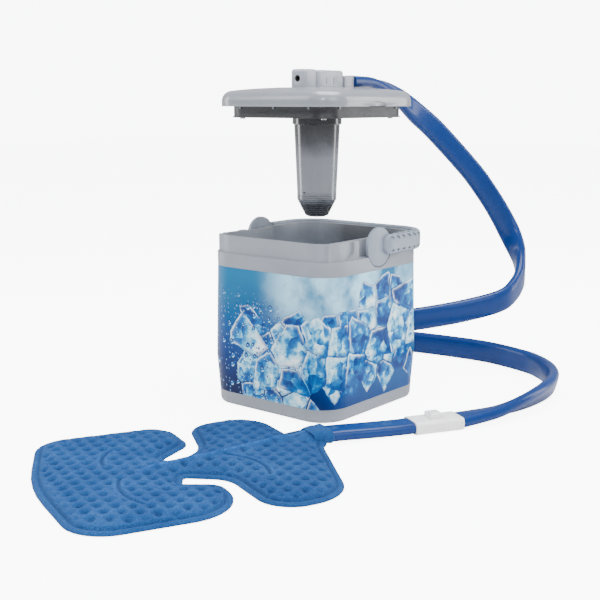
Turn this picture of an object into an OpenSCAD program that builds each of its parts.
// Hot and cold therapy machine: an insulated ice-water bucket with a carrying bail, a lid that
// carries a submersible pump on a long tube, and a flat twin-bore hose that ends in a quilted pad.
// Origin: the middle of the bucket's underside. +Z is up, -Y is the front, and the bail's pivot
// axis runs along X. The lid is drawn lifted clear of the bucket, as it is held when it is filled.

/* [Bucket] */
// Width across the handle pivots, at the band
body_w = 184; // [170:1:210]
// Depth from front to back, at the band
body_d = 192; // [178:1:220]
// Height of the rim above the ground
rim_h = 202; // [185:1:240]
// Radius of the four upright corners, at the band
corner_r = 36; // [32:1:46]
// How far the printed panel stands out past the band at its crease
bulge = 2.4; // [0.5:0.1:4]
// Height of the crease that runs round the printed panel
crease_h = 58; // [40:1:90]
// How far the panel is drawn in at its lower edge
toe_in = 1; // [0:0.1:3]
// Wall of the outer shell
shell_t = 2.4; // [1.6:0.1:3]
// Thickness of the printed sleeve round the shell
label_t = 0.5; // [0.3:0.1:1]
// Wall of the inner tub
tub_t = 2.5; // [1.6:0.1:3.5]
// Height of the tub's underside above the ground
tub_rise = 18; // [14:1:30]

/* [Base] */
// Height of the rounded base trim
trim_h = 16; // [13:1:22]
// Radius of the base trim's lower edge
trim_edge_r = 4; // [2:0.5:6]
// Thickness of the base floor
base_t = 3; // [2:0.5:4]
// Diameter of the four rubber pads let into the base
foot_d = 16; // [10:1:24]
// How far each rubber pad is let into the base
foot_t = 1.5; // [0.8:0.1:1.8]

/* [Rim collar] */
// Height of the band under the shoulder
band_h = 16; // [12:1:24]
// Height of the set-in collar above the shoulder
collar_h = 20; // [18:1:26]
// How far the collar is set in from the band, which leaves the shoulder
collar_in = 5; // [4:0.5:7]
// Wall of the collar
collar_t = 5; // [4:0.5:7]
// How far the pivot walls are thickened on the inside
boss_t = 6; // [4:0.5:8]
// Width of the round-bottomed pocket beside each hub
pocket_w = 26; // [18:1:30]
// Depth of the pockets
pocket_depth = 3.4; // [2:0.1:4]

/* [Handle] */
// Height of the pivot axis below the rim
pivot_drop = 10; // [8:0.5:12]
// Diameter of the round hubs at the ends of the bail
hub_d = 45; // [36:1:50]
// Thickness of the hubs
hub_t = 4.4; // [3:0.1:5]
// Diameter of the stud on each hub
stud_d = 9; // [6:0.5:12]
// Length of each stud in its bore
stud_l = 7; // [4:0.5:9]
// Thickness of the grip, measured outwards from the bucket
grip_t = 10.6; // [8:0.2:14]
// Height of the grip
grip_h = 23; // [16:1:26]
// Diameter of the dimples in the grip
dimple_d = 5; // [3:0.5:6]

/* [Lid] */
// How high the lid is held above the place where it closes
lift = 147; // [120:1:200]
// Height of the lid cover
cover_h = 21.5; // [16:0.5:28]
// Wall of the lid cover
cover_t = 2.5; // [1.8:0.1:3.5]
// Corner radius of the lid cover
cover_r = 35; // [30:1:42]
// How far the pan under the lid reaches down
pan_h = 12.6; // [8:0.2:20]
// Gap between the pan and the thickened pivot walls of the collar
pan_gap = 2.5; // [1:0.5:5]
// Wall of the pan
pan_t = 2.2; // [1.5:0.1:3]

/* [Pump] */
// Diameter of the flange at the top of the pump tube
flange_d = 57.6; // [52:0.2:70]
// Height of that flange
flange_h = 7.6; // [5:0.2:12]
// Diameter of the pump tube under the flange
tube_top_d = 53.6; // [48:0.2:60]
// Diameter of the pump tube at its lower end
tube_low_d = 46.6; // [44:0.2:54]
// Length of the pump tube below the lid pan
tube_l = 87; // [80:1:120]
// Wall of the pump tube and of the strainer
tube_t = 2; // [1.4:0.1:2.4]
// Height of the straight part of the strainer
strainer_h = 8; // [6:0.5:14]
// Height of the strainer's cone
cone_h = 20.6; // [14:0.2:30]
// Diameter of the strainer's nose
nose_d = 20; // [14:0.5:26]
// Diameter of the pump motor
motor_d = 24; // [18:0.5:25]
// Length of the pump motor
motor_l = 34; // [24:1:44]
// Diameter of the impeller
impeller_d = 26; // [20:0.5:30]
// Diameter of the motor shaft
shaft_d = 3; // [2:0.5:4]

/* [Control housing] */
// Width of the housing on the lid
house_w = 21.6; // [17:0.2:24]
// Length of the housing's front block, which holds the power inlet
front_l = 23.4; // [22:0.2:34]
// Length of the housing's rear block
rear_l = 51.4; // [40:0.2:60]
// Height of the housing above the lid
house_h = 20.5; // [17:0.5:26]
// Wall of the housing
house_t = 1.8; // [1.2:0.1:2.2]
// Diameter of the power inlet's opening
jack_d = 6; // [5.5:0.1:8]

/* [Hose] */
// Width of the flat hose
hose_w = 30; // [26:1:34]
// Thickness of the flat hose
hose_t = 13; // [10:0.5:14]
// Width of the outlet fitting on the lid
outlet_w = 23; // [20:0.5:26]
// Length of the outlet fitting
outlet_l = 18; // [12:1:24]

/* [Coupling] */
// Width of the white coupling
coupling_w = 33; // [30:0.5:38]
// Height of the white coupling
coupling_h = 14; // [13:0.5:18]
// Length of the hose half
hose_half_l = 20; // [16:1:26]
// Length of the pad half
pad_half_l = 38; // [34:1:46]
// Diameter of each of the two water nozzles
nozzle_d = 6; // [4:0.5:7]
// Width of the thumb latch
latch_w = 16; // [12:0.5:20]
// Length of the thumb latch
latch_l = 15; // [11:0.5:18]
// How far the thumb latch can be pressed in
latch_travel = 1.2; // [0.8:0.1:1.4]

/* [Pad] */
// Thickness of the quilted field of the pad
pad_t = 10; // [9:0.5:16]
// Thickness of the bound edge
pad_edge_t = 5; // [4:0.5:8]
// Width of the bound edge
pad_edge_w = 7; // [4:0.5:10]
// Depth of the dimples in the quilting
pad_dimple = 3; // [2:0.5:5]
// Distance from one dimple to the next
pad_pitch = 27; // [26:1:36]

/* [Fits] */
// Gap between pieces that move on each other
slide_gap = 0.4; // [0.3:0.05:0.6]
// Gap between a stud or shaft and its bore, on the radius
bore_gap = 0.08; // [0.05:0.01:0.1]
// Gap between fixed pieces that sit in each other
seat_gap = 0.15; // [0.1:0.05:0.3]

/* [Hidden] */
$fn = 72;
eps = 0.01;

// Heights of the bucket
shoulder_z = rim_h - collar_h;
band_z = shoulder_z - band_h;
pivot_z = rim_h - pivot_drop;

// Half sizes of the collar
collar_hw = body_w / 2 - collar_in;
collar_hd = body_d / 2 - collar_in;
collar_r = corner_r - collar_in;
inside_hw = collar_hw - collar_t;
inside_hd = collar_hd - collar_t;
inside_r = collar_r - collar_t;
boss_hw = inside_hw - boss_t;
bore_l = stud_l + slide_gap;

// The tub hangs by a flange in a step under the collar
tub_flange_t = 2.8;
tub_flange_w = 2.8;
tub_top_z = band_z + 6;
step_w = tub_flange_w + seat_gap;

// The pocket and its rib, measured forward from the pivot axis
hub_r = hub_d / 2;
rib_w = 9;
pocket_run = 46;
pocket_front = hub_r + pocket_run;
pocket_y = -pocket_front + pocket_w / 2;
side_pocket_w = 12;
side_pocket_depth = 8;
boss_run = 14;
boss_front = pocket_front + boss_run;
boss_back = stud_d;

// The bail runs round the collar with a gap
bail_in_hw = collar_hw + slide_gap + hub_t - 3;
bail_in_hd = collar_hd + 1.6;
bail_in_r = collar_r + bail_in_hw - collar_hw;
bail_z0 = shoulder_z + slide_gap;
neck_start = 11;
neck_y = hub_r + 4;
dimple_step = 11.2;

// Lid, at the height at which it is drawn
lid_z = rim_h + slide_gap + lift;
lid_top_z = lid_z + cover_h;
cover_hw = collar_hw - 0.2;
cover_hd = collar_hd - 0.3;
pan_hw = boss_hw - pan_gap;
pan_hd = pan_hw + (body_d - body_w) / 2;
pan_r = collar_r - collar_t - pan_gap;
pan_z = lid_z - pan_h;
deck_z = lid_z + 1.5;
lid_wall_top = lid_top_z - cover_t;

// Pump, hung under the pan
tube_z = pan_z - tube_l;
strainer_z = tube_z - strainer_h;
nose_z = strainer_z - cone_h;
throat_d = tube_low_d - 2 * tube_t;
volute_h = 12;
volute_z = tube_z + 2;
volute_t = 2;
motor_z = volute_z + volute_h + 3;
motor_top_z = motor_z + motor_l;
riser_d = 6;
riser_x = house_w / 2 - house_t - riser_d / 2 - 0.9;
riser_r = motor_d / 2 + 1 + riser_d / 2;
riser_y = sqrt(riser_r * riser_r - riser_x * riser_x);
water_bore = 3.4;
return_y = flange_d / 2 + riser_d / 2 + 1.5;

// Housing, on top of the lid
house_seam = 12.8;
house_front_y = -front_l - house_seam;
house_mid_y = house_front_y + front_l;
house_back_y = house_mid_y + rear_l;
house_z = lid_top_z;
house_top_z = house_z + house_h;
water_z = house_z + 8;
outlet_h = hose_t - 2;
jack_z = house_z + house_h * 0.48;

// Coupling: its own frame has +X towards the pad
coupling_at = [198, 2.5];
coupling_turn = 240;
coupling_z = coupling_h / 2;
latch_h = 7;
latch_pocket = 2.4;
latch_z = coupling_h / 2 - latch_pocket + latch_travel + 0.2;
latch_x = hose_half_l + slide_gap + 2;
nozzle_y = 7;
nozzle_reach = 16;

// Pad: its own frame has +X away from the hose
pad_at = [112, -134];
pad_turn = 248.9;

// Route of the hose from the lid to the coupling: x, y, z and the roll of its flat side
hose_route = [
  [0, 57.2, 0, 0], [0, 76, 0, 0], [0, 96, -1, 0], [1, 118, -4, 14], [2, 144, -10, 36],
  [4, 171, -22, 62], [9, 198, -39, 82], [19, 231, -63, 90], [41, 280, -112, 90],
  [55, 301, -142, 90], [69, 318, -174, 90], [83, 328, -206, 90], [98, 325, -235, 90],
  [110, 307, -258, 90], [114, 280, -274, 90], [110, 252, -284, 90], [85, 213, -293, 90],
  [56, 181, -300, 90], [15, 144, -308, 90], [-14, 132, -316, 90], [-48, 128, -327, 90],
  [-84, 134, -339, 90], [-116, 151, -349, 90], [-139, 177, -357, 90], [-147, 207, -362, 90],
  [-136, 234, -363.2, 90], [-111, 251, -363.2, 90], [-50, 265, -363.2, 90],
  [14, 276, -363.2, 90], [80, 280, -363.2, 90], [143, 265, -363.2, 90], [171, 250, -363.2, 88],
  [196, 228, -363.2, 84], [215, 200, -363.4, 78], [226, 168, -363.8, 70], [230, 134, -364.4, 60],
  [229, 102, -365.7, 46], [224, 72, -367.5, 30], [216, 44, -369.7, 14], [198.2, 2.85, -371.5, 0]];
lead_route = [
  [168.8, -48.1, 7, 0], [160, -63.3, 7, 0], [149, -80, 7, 0], [137, -97, 7, 0],
  [125, -113.5, 7, 0], [116, -128, 7, 0]];
exit_z = house_z + 7.6;

function add_z(route, z) = [for (p = route) [p[0], p[1], p[2] + z, p[3]]];

// Corners of the pad, going round it, each with the radius that rounds it
pad_corners = [
  [-7, -16, 3], [24, -16, 6], [24, -109, 40], [105, -109, 32], [130, -16, 48],
  [167, -13, 3], [172, -23, 3], [129, -53, 24], [127, -119, 30], [267, -136, 38],
  [310, -12, 280], [310, 129, 43], [150, 144, 53], [151, 70, 20], [182, 52, 3],
  [173, 34, 4], [137, 60, 30], [137, 154, 36], [59, 154, 52], [8, 19, 4], [-7, 18, 3]];

// ---- helpers ----

// A rectangle with round corners, centred
module rrect(hw, hd, r) {
  square([2 * (hw - r), 2 * hd], center = true);
  square([2 * hw, 2 * (hd - r)], center = true);
  for (x = [-1, 1], y = [-1, 1]) translate([x * (hw - r), y * (hd - r)]) circle(r);
}
module block(hw, hd, r, z0, z1) {
  translate([0, 0, z0]) linear_extrude(z1 - z0) rrect(hw, hd, r);
}
// A thin slice of a block, for lofting one size into another
module slice(hw, hd, r, z) {
  translate([0, 0, z]) linear_extrude(eps) rrect(hw, hd, r, $fn = 64);
}
module at_corners(x, y) {
  for (sx = [-1, 1], sy = [-1, 1]) translate([sx * x, sy * y, 0]) children();
}
// A round rod along X
module rod_x(d, x0, x1) {
  translate([x0, 0, 0]) rotate([0, 90, 0]) cylinder(d = d, h = x1 - x0);
}
module pan_screw(head_d, head_h, d, l) {
  cylinder(d = head_d, h = head_h);
  translate([0, 0, -l]) cylinder(d = d, h = l + eps);
}

function sub3(a, b) = [a[0] - b[0], a[1] - b[1], a[2] - b[2]];
function unit(v) = v / norm(v);
// A point on a smooth curve through p1 and p2
function on_curve(p0, p1, p2, p3, t) =
  0.5 * (2 * p1 + (p2 - p0) * t + (2 * p0 - 5 * p1 + 4 * p2 - p3) * t * t
  + (3 * p1 - p0 - 3 * p2 + p3) * t * t * t);
function smooth(route, n) = let (last = len(route) - 1) concat(
  [for (i = [0 : last - 1], k = [0 : n - 1])
    on_curve(route[max(i - 1, 0)], route[i], route[i + 1], route[min(i + 2, last)], k / n)],
  [route[last]]);
// The twelve corners of the flat oval, as shares along its wide and its narrow axis
function oval(w, t) = [for (end = [0, 1], k = [0 : 5])
  let (a = end * 180 - 90 + 180 * k / 5)
  [(end == 0 ? 1 : -1) * (w - t) / 2 + t / 2 * cos(a), t / 2 * sin(a)]];
function ring(route, i, w, t) =
  let (last = len(route) - 1, p = route[i],
    along = unit(sub3(route[min(i + 1, last)], route[max(i - 1, 0)])),
    side = unit(cross([0, 0, 1], along)), up = cross(along, side), roll = p[3])
  [for (c = oval(w, t))
    [p[0], p[1], p[2]] + side * (c[0] * cos(roll) - c[1] * sin(roll))
    + up * (c[0] * sin(roll) + c[1] * cos(roll))];
module flat_hose(route, w, t) {
  n = len(oval(w, t));
  rings = len(route);
  points = [for (i = [0 : rings - 1]) each ring(route, i, w, t)];
  sides = [for (i = [0 : rings - 2], k = [0 : n - 1]) let (m = (k + 1) % n) each
    [[i * n + k, (i + 1) * n + m, i * n + m], [i * n + k, (i + 1) * n + k, (i + 1) * n + m]]];
  caps = [[for (k = [0 : n - 1]) k], [for (k = [n - 1 : -1 : 0]) (rings - 1) * n + k]];
  polyhedron(points = points, faces = concat(sides, caps), convexity = 10);
}

// The rounded outline that a list of corners with radii stands for
function corner_arc(a, b, c) =
  let (u = unit([a[0] - b[0], a[1] - b[1]]), v = unit([c[0] - b[0], c[1] - b[1]]),
    half = acos(max(-1, min(1, u * v))) / 2, run = b[2] / tan(half),
    mid = unit(u + v), centre = [b[0], b[1]] + mid * b[2] / sin(half),
    from = [b[0], b[1]] + u * run - centre, to = [b[0], b[1]] + v * run - centre,
    a0 = atan2(from[1], from[0]), turn = atan2(to[1], to[0]) - a0,
    sweep = turn > 180 ? turn - 360 : turn < -180 ? turn + 360 : turn,
    n = max(1, ceil(abs(sweep) / 24)))
  [for (k = [0 : n]) centre + b[2] * [cos(a0 + sweep * k / n), sin(a0 + sweep * k / n)]];
function rounded(corners) = let (n = len(corners))
  [for (i = [0 : n - 1]) each corner_arc(corners[(i + n - 1) % n], corners[i], corners[(i + 1) % n])];

// ---- bucket ----

// The lofted body of the printed panel, grown by g
module panel(g, z0, z1) {
  hw = body_w / 2 - label_t + g;
  hd = body_d / 2 - label_t + g;
  r = corner_r - label_t + g;
  hull() {
    slice(hw, hd, r, z1 - eps);
    slice(hw + bulge, hd + bulge, r + bulge, crease_h);
  }
  hull() {
    slice(hw + bulge, hd + bulge, r + bulge, crease_h);
    slice(hw - toe_in, hd - toe_in, r - toe_in, z0);
  }
}
module outer_shell() {
  color("lightsteelblue") difference() {
    panel(0, trim_h, band_z);
    panel(-shell_t, trim_h - eps, band_z + eps);
  }
}
module label_sleeve() {
  color("deepskyblue") difference() {
    panel(label_t, trim_h + seat_gap, band_z - seat_gap);
    panel(0.02, trim_h - eps, band_z + eps);
  }
}
module pocket_cuts() {
  depth_x = collar_hw - pocket_depth;
  translate([depth_x, pocket_y, shoulder_z + pocket_w / 2]) {
    rod_x(pocket_w, 0, pocket_depth + eps);
    translate([0, -pocket_w / 2, 0]) cube([pocket_depth + eps, pocket_w, collar_h]);
  }
  translate([collar_hw - side_pocket_depth, pocket_y + pocket_w / 2 + rib_w, shoulder_z])
    cube([side_pocket_depth + eps, side_pocket_w + hub_r / 2, collar_h + eps]);
}
module rim_collar() {
  hub_gap = 1;
  color("darkgray") difference() {
    union() {
      difference() {
        union() {
          block(body_w / 2, body_d / 2, corner_r, band_z, shoulder_z);
          block(collar_hw, collar_hd, collar_r, shoulder_z - eps, rim_h);
        }
        block(inside_hw, inside_hd, inside_r, band_z - eps, rim_h + eps);
        block(inside_hw + step_w, inside_hd + step_w, inside_r + step_w, band_z - eps, tub_top_z);
      }
      for (s = [0, 1]) mirror([s, 0, 0]) translate([boss_hw, -boss_front, tub_top_z + seat_gap])
        cube([boss_t + eps, boss_front + boss_back, rim_h - tub_top_z - seat_gap]);
    }
    for (s = [0, 1]) mirror([s, 0, 0]) {
      pocket_cuts();
      translate([0, 0, pivot_z]) {
        rod_x(stud_d + 2 * bore_gap, collar_hw - bore_l, collar_hw + eps);
        rod_x(hub_d + 2 * hub_gap, collar_hw, body_w / 2 + eps);
      }
    }
  }
}
module inner_tub() {
  hw = inside_hw - seat_gap;
  hd = inside_hd - seat_gap;
  color("gainsboro") difference() {
    union() {
      block(hw, hd, inside_r, tub_rise, tub_top_z - seat_gap);
      block(hw + tub_flange_w, hd + tub_flange_w, inside_r + tub_flange_w,
        tub_top_z - seat_gap - tub_flange_t, tub_top_z - seat_gap);
    }
    block(hw - tub_t, hd - tub_t, inside_r - tub_t, tub_rise + tub_t, tub_top_z);
  }
}
// Outline that clears the inside of the outer shell
foam_in = shell_t + label_t + toe_in + seat_gap;
module wall_foam() {
  color("ivory") difference() {
    block(body_w / 2 - foam_in, body_d / 2 - foam_in, corner_r - foam_in, trim_h, band_z - seat_gap);
    block(inside_hw, inside_hd, inside_r, trim_h - eps, band_z);
  }
}
module floor_foam() {
  color("ivory") block(inside_hw - seat_gap, inside_hd - seat_gap, inside_r, base_t + seat_gap,
    tub_rise - seat_gap);
}
screw_in = 24;
module base_trim() {
  hw = body_w / 2 - toe_in;
  hd = body_d / 2 - toe_in;
  r = corner_r - toe_in;
  color("darkgray") difference() {
    hull() {
      slice(hw, hd, r, trim_h - eps);
      slice(hw - 0.6, hd - 0.6, r - 0.6, trim_edge_r);
      slice(hw - 0.6 - trim_edge_r * 0.3, hd - 0.6 - trim_edge_r * 0.3, r - trim_edge_r * 0.3,
        trim_edge_r * 0.3);
      slice(hw - 0.6 - trim_edge_r, hd - 0.6 - trim_edge_r, r - trim_edge_r, 0);
    }
    block(hw - 8, hd - 8, r - 8, base_t, trim_h + eps);
    at_corners(hw - screw_in, hd - screw_in) {
      translate([0, 0, -eps]) cylinder(d = foot_d + 2 * seat_gap, h = foot_t + eps);
      cylinder(d = 3.4, h = base_t + 1);
    }
  }
}
module rubber_pads() {
  color("dimgray") at_corners(body_w / 2 - toe_in - screw_in, body_d / 2 - toe_in - screw_in)
    cylinder(d = foot_d, h = foot_t - seat_gap);
}
module base_screws() {
  color("silver") at_corners(body_w / 2 - toe_in - screw_in, body_d / 2 - toe_in - screw_in)
    translate([0, 0, foot_t]) cylinder(d = 3, h = base_t - foot_t);
}

// ---- handle ----

// The grip's section, with its inner face at x = 0
module grip_section() {
  c = grip_t * 0.3;
  polygon([[1, 0], [grip_t - c * 1.4, 0], [grip_t - c * 0.4, c * 0.7], [grip_t, c * 2],
    [grip_t, grip_h - c * 2], [grip_t - c * 0.4, grip_h - c * 0.7], [grip_t - c * 1.4, grip_h],
    [1, grip_h], [0, grip_h - 1], [0, 1]]);
}
module bar(length) {
  rotate([90, 0, 0]) linear_extrude(length) grip_section();
}
// A frame round the collar, from one neck round the back to the other
module grip() {
  straight_x = bail_in_hw - bail_in_r;
  straight_y = bail_in_hd - bail_in_r;
  translate([0, 0, bail_z0]) {
    translate([bail_in_hw, straight_y, 0]) bar(straight_y - neck_y);
    translate([straight_x, straight_y, 0]) rotate_extrude(angle = 90)
      translate([bail_in_r, 0]) grip_section();
    translate([-straight_x, bail_in_hd, 0]) rotate([0, 0, 90]) bar(2 * straight_x);
    translate([-straight_x, straight_y, 0]) rotate([0, 0, 90]) rotate_extrude(angle = 90)
      translate([bail_in_r, 0]) grip_section();
    translate([-bail_in_hw, neck_y, 0]) rotate([0, 0, 180]) bar(straight_y - neck_y);
  }
}
module handle_hubs() {
  color("slategray") for (s = [0, 1]) mirror([s, 0, 0])
    translate([collar_hw + slide_gap, 0, pivot_z]) {
      rod_x(hub_d, 0, hub_t);
      rod_x(stud_d, -slide_gap - stud_l, 1);
    }
}
// The cone that widens from the hub's face to the grip
module neck() {
  face_x = collar_hw + slide_gap + hub_t;
  hull() {
    translate([face_x + 0.4, neck_start, bail_z0 + 2.5])
      cube([bail_in_hw + grip_t - 1.5 - face_x, 3, grip_h - 5]);
    translate([face_x, 1, pivot_z]) rod_x(5, 0, 0.4, $fn = 24);
  }
  intersection() {
    translate([bail_in_hw, neck_y + 1, bail_z0]) bar(neck_y + 1 - neck_start);
    translate([face_x + 0.2, 0, bail_z0 - 1]) cube([grip_t, neck_y + 2, grip_h + 2]);
  }
}
module dimple_holes(x, y0, y1, step) {
  for (y = [y0 : step : y1], z = [grip_h * 0.24, grip_h * 0.76])
    translate([x - 0.8, y, bail_z0 + z]) rod_x(dimple_d, 0, 3);
}
module handle_bail() {
  straight_x = bail_in_hw - bail_in_r;
  straight_y = bail_in_hd - bail_in_r;
  color("lightslategray") difference() {
    union() {
      grip();
      for (s = [0, 1]) mirror([s, 0, 0]) neck();
    }
    for (s = [0, 1]) mirror([s, 0, 0])
      dimple_holes(bail_in_hw + grip_t, neck_start + 3, straight_y, dimple_step);
    translate([0, bail_in_hd, 0]) rotate([0, 0, 90])
      dimple_holes(grip_t, -straight_x + 2, straight_x, dimple_step);
  }
}

// ---- lid ----

module cover_form(g) {
  hw = cover_hw + g;
  hd = cover_hd + g;
  r = cover_r + g;
  top = lid_top_z + g;
  hull() {
    slice(hw, hd, r, lid_z);
    slice(hw - 0.6, hd - 0.6, r - 0.6, lid_z + cover_h * 0.22);
    slice(hw - 3, hd - 3, r - 3, lid_z + cover_h * 0.55);
    slice(hw - 7.5, hd - 7.5, r - 7.5, lid_z + cover_h * 0.82);
    slice(hw - 12, hd - 12, r - 12, top - 0.9);
    slice(hw - 20, hd - 20, max(2, r - 20), top - eps);
  }
}
lid_boss_x = pan_hw - 14;
lid_boss_y = pan_hd - 14;
lid_boss_d = 8;
module lid_cover() {
  relief_w = hub_d * 0.8;
  color("gainsboro") difference() {
    union() {
      difference() {
        cover_form(0);
        cover_form(-cover_t);
        translate([0, 0, lid_z - eps]) linear_extrude(0.6)
          rrect(cover_hw - cover_t, cover_hd - cover_t, cover_r - cover_t);
      }
      at_corners(lid_boss_x, lid_boss_y) translate([0, 0, deck_z + 2])
        cylinder(d = lid_boss_d, h = lid_top_z - cover_t - deck_z - 1);
    }
    at_corners(lid_boss_x, lid_boss_y) translate([0, 0, deck_z])
      cylinder(d = 2.6, h = lid_top_z - cover_t - deck_z - 1);
    translate([-house_w / 2 + house_t + 0.6, house_front_y + 6, lid_top_z - cover_t - 2])
      cube([house_w - 2 * house_t - 1.2, house_back_y - house_t - house_front_y - 6, cover_t + 4]);
    for (s = [0, 1]) mirror([s, 0, 0]) translate([cover_hw - 1.6, 0, lid_z])
      scale([1, 1, 0.28]) rod_x(relief_w, 0, 3);
  }
}
module lid_pan() {
  deck_t = 2;
  lip = 1.2;
  deck_hw = cover_hw - cover_t - 1;
  deck_hd = cover_hd - cover_t - 1;
  color("slategray") difference() {
    union() {
      block(pan_hw, pan_hd, pan_r, pan_z, deck_z + deck_t);
      block(pan_hw + lip, pan_hd + lip, pan_r + lip, pan_z, pan_z + 1.6);
      block(deck_hw, deck_hd, cover_r - cover_t - 1, deck_z, deck_z + deck_t);
    }
    block(pan_hw - pan_t, pan_hd - pan_t, pan_r - pan_t, pan_z + pan_t, deck_z + deck_t + eps);
    translate([0, 0, pan_z - eps]) cylinder(d = throat_d, h = pan_t + 1);
    translate([-riser_x, return_y, pan_z - eps]) cylinder(d = riser_d + 2 * seat_gap, h = pan_t + 1);
    tube_screw_places() translate([0, 0, pan_z - eps]) cylinder(d = 3.2, h = pan_t + 1);
    at_corners(lid_boss_x, lid_boss_y) translate([0, 0, pan_z - eps]) cylinder(d = 3.4, h = pan_t + 1);
  }
}
module lid_foam() {
  cut_h = cover_h + pan_h;
  riser_room = riser_d / 2 + 1;
  color("ivory") difference() {
    block(pan_hw - pan_t - 0.5, pan_hd - pan_t - 0.5, pan_r - pan_t - 0.5,
      pan_z + pan_t + 4, lid_top_z - cover_t - 1.6);
    translate([0, 0, pan_z]) cylinder(d = flange_d, h = cut_h);
    at_corners(lid_boss_x, lid_boss_y) translate([0, 0, pan_z]) cylinder(d = lid_boss_d + 1, h = cut_h);
    translate([-riser_x - riser_room, 0, pan_z]) cube([2 * riser_room, return_y + riser_room, cut_h]);
  }
}
module lid_gasket() {
  gasket_w = 3;
  inset = cover_t + 0.4;
  color("dimgray") difference() {
    block(cover_hw - inset, cover_hd - inset, cover_r - inset, lid_z, deck_z);
    block(cover_hw - inset - gasket_w, cover_hd - inset - gasket_w, cover_r - inset - gasket_w,
      lid_z - eps, deck_z + eps);
  }
}
module lid_lugs() {
  lug = [2, 1.4, 4];
  color("white") {
    for (x = [-1, 0, 1], s = [-1, 1])
      translate([x * (pan_hw - pan_r) - lug[0] / 2, s * (pan_hd + lug[1] / 2) - lug[1] / 2,
        deck_z - lug[2]]) cube(lug);
    for (y = [-1, 1], s = [-1, 1])
      translate([s * (pan_hw + lug[1] / 2) - lug[1] / 2, y * (pan_hd - pan_r) - lug[0] / 2,
        deck_z - lug[2]]) cube([lug[1], lug[0], lug[2]]);
  }
}
module lid_screws() {
  color("silver") at_corners(lid_boss_x, lid_boss_y) translate([0, 0, pan_z])
    mirror([0, 0, 1]) pan_screw(6, 1.6, 2.6, deck_z + 8 - pan_z);
}

// ---- pump ----

// Radius of the tapered tube at height z, before its wall is taken off
taper_z = pan_z - flange_h - 4;
function tube_r(z) = (tube_low_d + (tube_top_d - tube_low_d) * (z - tube_z) / (taper_z - tube_z)) / 2;
module tube_screw_places() {
  for (a = [30, 150, 270]) rotate([0, 0, a]) translate([(tube_top_d + throat_d) / 4, 0, 0]) children();
}
module pump_tube() {
  top_r = tube_top_d / 2;
  low_r = tube_low_d / 2;
  color("darkgray") difference() {
    rotate_extrude() polygon([
      [throat_d / 2, pan_z], [flange_d / 2, pan_z], [flange_d / 2, pan_z - flange_h],
      [top_r, pan_z - flange_h - 0.8], [low_r, tube_z], [low_r - tube_t, tube_z],
      [top_r - tube_t, taper_z], [throat_d / 2, pan_z - flange_h]]);
    tube_screw_places() translate([0, 0, pan_z - 6]) cylinder(d = 2.4, h = 6 + eps);
    translate([0, -tube_low_d / 2 - 1, tube_z - eps]) cube([3, 2 * tube_t + 2, 2.5], center = true);
  }
}
module strainer() {
  low_r = tube_low_d / 2;
  nose_r = nose_d / 2;
  ribs = 6;
  rib_start = 6;
  slope = (low_r - nose_r - 3) / cone_h;
  step = (cone_h - rib_start - 2) / ribs;
  function cone_r(z) = nose_r + 3 + slope * z;
  outer = concat([[low_r, tube_z - seat_gap], [low_r, strainer_z]],
    [for (k = [ribs - 1 : -1 : 0]) let (z = 2 + k * step) each
      [[cone_r(z + step), nose_z + z + step], [cone_r(z + step) - 0.9, nose_z + z + step - 0.3],
       [cone_r(z + step * 0.55) - 0.9, nose_z + z + step * 0.55],
       [cone_r(z + step * 0.5), nose_z + z + step * 0.5]]],
    [[cone_r(2) - 0.5, nose_z + 1.6], [nose_r, nose_z], [0, nose_z]]);
  inner = [[0, nose_z + tube_t], [nose_r, nose_z + tube_t], [cone_r(4) - tube_t - 1.4, nose_z + 4],
    [low_r - tube_t - 1.2, strainer_z], [low_r - tube_t - 0.6, tube_z - seat_gap]];
  inlet_d = 3.2;
  color("dimgray") difference() {
    rotate_extrude() polygon(concat(outer, inner));
    translate([0, 0, nose_z - eps]) cylinder(d = inlet_d, h = 3);
    for (a = [0 : 60 : 300]) rotate([0, 0, a]) translate([nose_d * 0.32, 0, nose_z - eps])
      cylinder(d = inlet_d, h = 3);
  }
}
module filter_sponge() {
  color("black") translate([0, 0, nose_z + cone_h * 0.55])
    cylinder(r1 = nose_d / 2 + 1, r2 = tube_low_d / 2 - tube_t - 3.4, h = cone_h * 0.4);
}
module pump_volute() {
  r = throat_d / 2 - 0.6;
  color("whitesmoke") difference() {
    translate([0, 0, volute_z]) cylinder(r = r, h = volute_h);
    translate([0, 0, volute_z + volute_t]) cylinder(d = impeller_d + 3, h = volute_h - 2 * volute_t);
    translate([0, 0, volute_z - eps]) cylinder(d = 9, h = volute_t + 1);
    translate([0, 0, volute_z + volute_h - volute_t - 1]) cylinder(d = shaft_d + 3, h = volute_t + 2);
    translate([riser_x, riser_y, volute_z + volute_h / 2]) cylinder(d = water_bore, h = volute_h);
    translate([0, 0, volute_z + volute_h / 2 - 1]) rotate([0, 0, atan2(riser_y, riser_x)])
      translate([0, -1.3, 0]) cube([riser_r + 1, 2.6, 3]);
  }
}
module pump_motor() {
  color("silver") difference() {
    union() {
      translate([0, 0, motor_z]) cylinder(d = motor_d, h = motor_l);
      translate([0, 0, motor_z - 1.5]) cylinder(d = 9, h = 2);
    }
    translate([0, 0, motor_z - 2]) cylinder(d = shaft_d + 2 * bore_gap, h = motor_l - 4);
  }
}
module motor_mount() {
  z = motor_z + motor_l * 0.6;
  arm_r = tube_r(z) - tube_t - seat_gap;
  color("gray") difference() {
    translate([0, 0, z]) union() {
      cylinder(d = motor_d + 1.6, h = 4);
      for (a = [-30, 210]) rotate([0, 0, a]) translate([motor_d / 2, -2, 0]) cube([arm_r - motor_d / 2, 4, 4]);
    }
    translate([0, 0, z - 1]) cylinder(d = motor_d + 2 * seat_gap, h = 6);
    translate([riser_x, riser_y, z - 1]) cylinder(d = riser_d + 2 * seat_gap, h = 6);
  }
}
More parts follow.
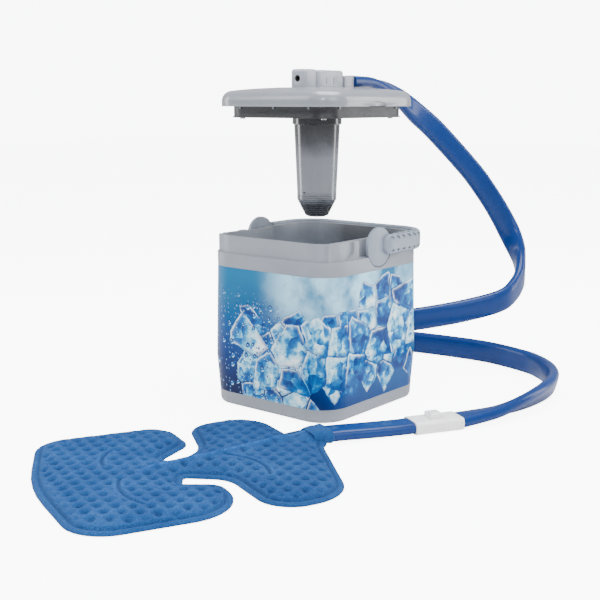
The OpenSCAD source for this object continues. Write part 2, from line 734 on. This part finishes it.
seal_h = 1.4;
module shaft_seal() {
  color("black") translate([0, 0, volute_z + volute_h - volute_t + 0.2]) difference() {
    cylinder(d = shaft_d + 2.8, h = seal_h);
    translate([0, 0, -eps]) cylinder(d = shaft_d + 2 * bore_gap, h = seal_h + 2 * eps);
  }
}
impeller_z = volute_z + volute_t + 0.8;
impeller_h = volute_h - 2 * volute_t - 1.6;
module motor_shaft() {
  color("silver") translate([0, 0, impeller_z]) cylinder(d = shaft_d, h = motor_z + motor_l - 8 - impeller_z);
}
module impeller() {
  vanes = 6;
  color("white") difference() {
    translate([0, 0, impeller_z]) union() {
      translate([0, 0, impeller_h - 1.4]) cylinder(d = impeller_d, h = 1.4);
      cylinder(d = shaft_d + 4, h = impeller_h);
      for (k = [0 : vanes - 1]) rotate([0, 0, k * 360 / vanes]) translate([2, 1.5, 0])
        cube([impeller_d / 2 - 2.4, 1.2, impeller_h - 1]);
    }
    translate([0, 0, impeller_z - eps]) cylinder(d = shaft_d, h = impeller_h + 1);
  }
}
// A water tube that rises from z0, turns in a knuckle and runs back to y1
module water_tube(x, y, z0, y1) {
  difference() {
    union() {
      translate([x, y, z0]) cylinder(d = riser_d, h = water_z - z0);
      translate([x, y, water_z]) sphere(d = riser_d + 0.8);
      translate([x, y, water_z]) rotate([-90, 0, 0]) cylinder(d = riser_d - 0.2, h = y1 - y);
    }
    translate([x, y, z0 - eps]) cylinder(d = water_bore, h = water_z - z0 + 1);
    translate([x, y, water_z]) rotate([-90, 0, 0]) cylinder(d = water_bore - 0.4, h = y1 - y + 1);
  }
}
module supply_tube() {
  color("lightblue") water_tube(riser_x, riser_y, volute_z + volute_h, house_back_y - house_t);
}
module return_tube() {
  color("lightblue") water_tube(-riser_x, return_y, pan_z, house_back_y - house_t);
}
module motor_leads() {
  color("crimson") for (x = [-2, 2]) translate([x, -4, motor_top_z]) cylinder(d = 1.6, h = board_z - motor_top_z);
}
module tube_screws() {
  color("silver") tube_screw_places() translate([0, 0, pan_z + pan_t]) pan_screw(5, 1.5, 2.4, 7);
}

// ---- control housing ----

module house_block(hw, y0, y1, h, r) {
  c = 2;
  translate([0, (y0 + y1) / 2, 0]) hull() {
    slice(hw, (y1 - y0) / 2, r, house_z);
    slice(hw, (y1 - y0) / 2, r, house_z + h - c);
    slice(hw - c * 0.35, (y1 - y0) / 2 - c * 0.35, r, house_z + h - c * 0.35);
    slice(hw - c, (y1 - y0) / 2 - c, max(0.8, r - c * 0.5), house_z + h - eps);
  }
}
board_z = house_z + 2.2;
board_t = 1.2;
jack_l = 12;
groove_w = 0.8;
house_in_w = house_w - 2 * house_t;
module housing_front() {
  color("silver") difference() {
    house_block(house_w / 2, house_front_y, house_mid_y - seat_gap, house_h, 3);
    translate([-house_in_w / 2, house_front_y + house_t, house_z - 1])
      cube([house_in_w, front_l, house_h - house_t]);
    translate([0, house_front_y - 1, jack_z]) rotate([-90, 0, 0])
      cylinder(d = jack_d + 2.4, h = house_t + 2);
  }
}
module housing_rear() {
  rear_in = 0.5;
  color("silver") difference() {
    house_block(house_w / 2 - rear_in, house_mid_y, house_back_y, house_h - rear_in, 3);
    translate([-house_in_w / 2 + rear_in, house_mid_y - 1, house_z - 1])
      cube([house_in_w - 2 * rear_in, rear_l - house_t + 1, house_h - house_t]);
    for (s = [-1, 1], y = [0.3, 0.56])
      translate([s * house_w / 2 - groove_w, house_mid_y + y * rear_l, house_z + 4])
        cube([2 * groove_w, groove_w, house_h - 9]);
  }
}
module board_screws() {
  color("silver") for (y = [house_mid_y - 3, house_mid_y + 4])
    translate([0, y, board_z + board_t + seat_gap]) cylinder(d = 4, h = 1.6);
}
module power_jack() {
  color([0.1, 0.1, 0.11]) difference() {
    union() {
      translate([0, house_front_y + 0.6, jack_z]) rotate([-90, 0, 0])
        cylinder(d = jack_d + 2, h = house_t);
      translate([-jack_d / 2 - 0.8, house_front_y + house_t + 0.3, jack_z - jack_d / 2 - 0.8])
        cube([jack_d + 1.6, jack_l, jack_d + 1.6]);
    }
    translate([0, house_front_y, jack_z]) rotate([-90, 0, 0]) cylinder(d = jack_d, h = jack_l - 1);
  }
}
module jack_pin() {
  color("silver") translate([0, house_front_y + 5, jack_z]) rotate([-90, 0, 0])
    cylinder(d = 2.1, h = jack_l - 6);
}
module circuit_board() {
  inner_w = house_w - 2 * house_t - 2;
  color("seagreen") translate([-inner_w / 2, house_front_y + house_t + 1, board_z])
    cube([inner_w, riser_y - 5 - (house_front_y + house_t + 1), board_t]);
}
module outlet_fitting() {
  color("silver") translate([0, house_back_y + 0.1, exit_z]) rotate([-90, 0, 0]) difference() {
    linear_extrude(outlet_l - 0.1) union() {
      square([outlet_w - outlet_h, outlet_h], center = true);
      square([outlet_w, outlet_h - 6], center = true);
      for (x = [-1, 1], y = [-1, 1]) translate([x * (outlet_w / 2 - 3), y * (outlet_h / 2 - 3)]) circle(3);
      square([outlet_w - 6, outlet_h], center = true);
    }
    for (x = [-riser_x, riser_x]) translate([x, exit_z - water_z, -eps])
      cylinder(d = water_bore, h = outlet_l + 1);
  }
}
module outlet_seal() {
  color("black") translate([0, house_back_y - house_t - 1.2, water_z]) for (x = [-riser_x, riser_x])
    translate([x, 0, 0]) rotate([-90, 0, 0]) difference() {
      cylinder(d = riser_d + 1.4, h = 1);
      translate([0, 0, -eps]) cylinder(d = riser_d, h = 2);
    }
}

// ---- hose and coupling ----

module main_hose() {
  color([0.06, 0.34, 0.68]) flat_hose(smooth(add_z(hose_route, exit_z), 2), hose_w, hose_t);
}
module in_coupling() {
  translate([coupling_at[0], coupling_at[1], coupling_z]) rotate([0, 0, coupling_turn]) children();
}
module half_body(x0, l, ribs) {
  rib = 0.6;
  difference() {
    translate([x0, 0, 0]) rotate([90, 0, 90]) linear_extrude(l)
      rrect(coupling_w / 2, coupling_h / 2, 4.5, $fn = 48);
    for (k = [0 : ribs - 1], s = [-1, 1])
      translate([x0 + 3 + k * 2.2, s * coupling_w / 2 - rib, -coupling_h / 2 + 3.5])
        cube([1, 2 * rib, coupling_h - 7]);
  }
}
module hose_half() {
  ribs = floor((hose_half_l - 5) / 2.2);
  color("white") in_coupling() difference() {
    half_body(0, hose_half_l, ribs);
    for (s = [-1, 1]) translate([0, s * nozzle_y, 0]) rod_x(nozzle_d - 1.6, 1.5, hose_half_l + eps);
  }
}
module hose_nozzles() {
  color("whitesmoke") in_coupling() for (s = [-1, 1]) translate([0, s * nozzle_y, 0]) difference() {
    rod_x(nozzle_d, hose_half_l, hose_half_l + nozzle_reach);
    rod_x(nozzle_d - 2.4, hose_half_l - eps, hose_half_l + nozzle_reach + eps);
  }
}
module pad_half() {
  x0 = hose_half_l + slide_gap;
  ribs = floor((pad_half_l - 8) / 2.2);
  color("white") in_coupling() difference() {
    half_body(x0, pad_half_l - slide_gap, ribs);
    for (s = [-1, 1]) translate([0, s * nozzle_y, 0]) {
      rod_x(nozzle_d + 2.4, x0 - eps, x0 + nozzle_reach + 1);
      rod_x(nozzle_d - 2, x0, hose_half_l + pad_half_l - 2);
    }
    translate([latch_x - seat_gap * 2, -latch_w / 2 - seat_gap * 2, coupling_h / 2 - latch_pocket])
      cube([latch_l + seat_gap * 4, latch_w + seat_gap * 4, 4]);
  }
}
module nozzle_seals() {
  color("black") in_coupling() for (s = [-1, 1]) translate([0, s * nozzle_y, 0]) difference() {
    rod_x(nozzle_d + 2.2, hose_half_l + 6, hose_half_l + 8);
    rod_x(nozzle_d + 2 * bore_gap, hose_half_l + 5, hose_half_l + 9);
  }
}
valve_x = hose_half_l + nozzle_reach + 4;
module check_valves() {
  color("tan") in_coupling() for (s = [-1, 1]) translate([0, s * nozzle_y, 0])
    rod_x(nozzle_d - 3, valve_x, valve_x + 4);
}
module valve_springs() {
  color("silver") in_coupling() for (s = [-1, 1]) translate([0, s * nozzle_y, 0]) difference() {
    rod_x(nozzle_d - 2.4, valve_x + 4.2, valve_x + 10);
    rod_x(nozzle_d - 3.4, valve_x + 4, valve_x + 11);
  }
}
module thumb_latch() {
  color("white") in_coupling() translate([latch_x, -latch_w / 2, latch_z]) difference() {
    hull() {
      cube([latch_l, latch_w, 1]);
      translate([0, 0, latch_h - 1.2]) cube([latch_l, latch_w, 0.4]);
      translate([1, 1, latch_h - 0.6]) cube([latch_l - 2, latch_w - 2, 0.6]);
    }
    translate([latch_l - 2.5, latch_w / 2 - 4, latch_h - 2.4]) cube([4, 8, 5]);
  }
}
module latch_spring() {
  color("silver") in_coupling()
    translate([latch_x + latch_l / 2, 0, coupling_h / 2 - latch_pocket]) difference() {
      cylinder(d = 5, h = latch_travel + 0.1);
      translate([0, 0, -eps]) cylinder(d = 3.6, h = 3);
    }
}

// ---- pad ----

module in_pad() {
  translate([pad_at[0], pad_at[1], 0]) rotate([0, 0, pad_turn]) children();
}
module pad_lead() {
  color([0.06, 0.34, 0.68]) flat_hose(smooth(lead_route, 2), hose_w, hose_t - 0.6);
}
module pad_cuff() {
  color([0.2, 0.44, 0.7]) in_pad() translate([-7 - 3, 0, 6.8]) rotate([90, 0, 90]) difference() {
    linear_extrude(2.6) rrect(hose_w / 2 + 1.6, hose_t / 2, hose_t / 2 - 0.2, $fn = 32);
    translate([0, 0, -1]) linear_extrude(2.4) rrect(hose_w / 2, hose_t / 2 - 1, hose_t / 2 - 1.2, $fn = 32);
  }
}
// The quilted field: a lattice of points, of which every third is the bottom of a dimple
quilt_step = pad_pitch / sqrt(3);
quilt_row = quilt_step * sin(60);
quilt_x = [12, 322];
quilt_y = [-136, 172];
quilt_cols = ceil((quilt_x[1] - quilt_x[0]) / quilt_step);
quilt_rows = ceil((quilt_y[1] - quilt_y[0]) / quilt_row);
function quilt_point(i, j) = [quilt_x[0] + quilt_step * (i + 0.5 * (j % 2)), quilt_y[0] + quilt_row * j];
function quilt_z(i, j) = (i - floor(j / 2) - j + 3 * quilt_rows) % 3 == 0
  ? pad_t - pad_dimple : pad_t;
module quilt() {
  cols = quilt_cols + 1;
  base = cols * (quilt_rows + 1);
  function at(i, j) = j * cols + i;
  points = concat(
    [for (j = [0 : quilt_rows], i = [0 : quilt_cols]) let (p = quilt_point(i, j))
      [p[0], p[1], quilt_z(i, j)]],
    [for (j = [0 : quilt_rows], i = [0 : quilt_cols]) let (p = quilt_point(i, j)) [p[0], p[1], 1]]);
  top = [for (j = [0 : quilt_rows - 1], i = [0 : quilt_cols - 1]) each j % 2 == 0
    ? [[at(i, j), at(i, j + 1), at(i + 1, j)], [at(i + 1, j), at(i, j + 1), at(i + 1, j + 1)]]
    : [[at(i, j), at(i, j + 1), at(i + 1, j + 1)], [at(i, j), at(i + 1, j + 1), at(i + 1, j)]]];
  under = [for (f = top) [f[0] + base, f[2] + base, f[1] + base]];
  rim = concat([for (i = [0 : quilt_cols]) at(i, 0)], [for (j = [1 : quilt_rows]) at(quilt_cols, j)],
    [for (i = [quilt_cols - 1 : -1 : 0]) at(i, quilt_rows)],
    [for (j = [quilt_rows - 1 : -1 : 1]) at(0, j)]);
  n = len(rim);
  wall = [for (k = [0 : n - 1]) let (a = rim[k], b = rim[(k + 1) % n]) each
    [[a, b, b + base], [a, b + base, a + base]]];
  polyhedron(points = points, faces = concat(top, under, wall), convexity = 12);
}
module therapy_pad() {
  outline = rounded(pad_corners);
  color([0.2, 0.44, 0.7]) in_pad() union() {
    linear_extrude(pad_edge_t) polygon(outline);
    intersection() {
      linear_extrude(pad_t + 1) offset(delta = -pad_edge_w) polygon(outline);
      quilt();
    }
  }
}

outer_shell();
label_sleeve();
rim_collar();
inner_tub();
wall_foam();
floor_foam();
base_trim();
rubber_pads();
base_screws();
handle_bail();
handle_hubs();
lid_cover();
lid_pan();
lid_foam();
lid_gasket();
lid_lugs();
lid_screws();
pump_tube();
strainer();
filter_sponge();
pump_volute();
pump_motor();
motor_mount();
shaft_seal();
motor_shaft();
impeller();
supply_tube();
return_tube();
motor_leads();
tube_screws();
housing_front();
housing_rear();
board_screws();
power_jack();
jack_pin();
circuit_board();
outlet_fitting();
outlet_seal();
main_hose();
hose_half();
hose_nozzles();
pad_half();
nozzle_seals();
check_valves();
valve_springs();
thumb_latch();
latch_spring();
pad_lead();
pad_cuff();
therapy_pad();
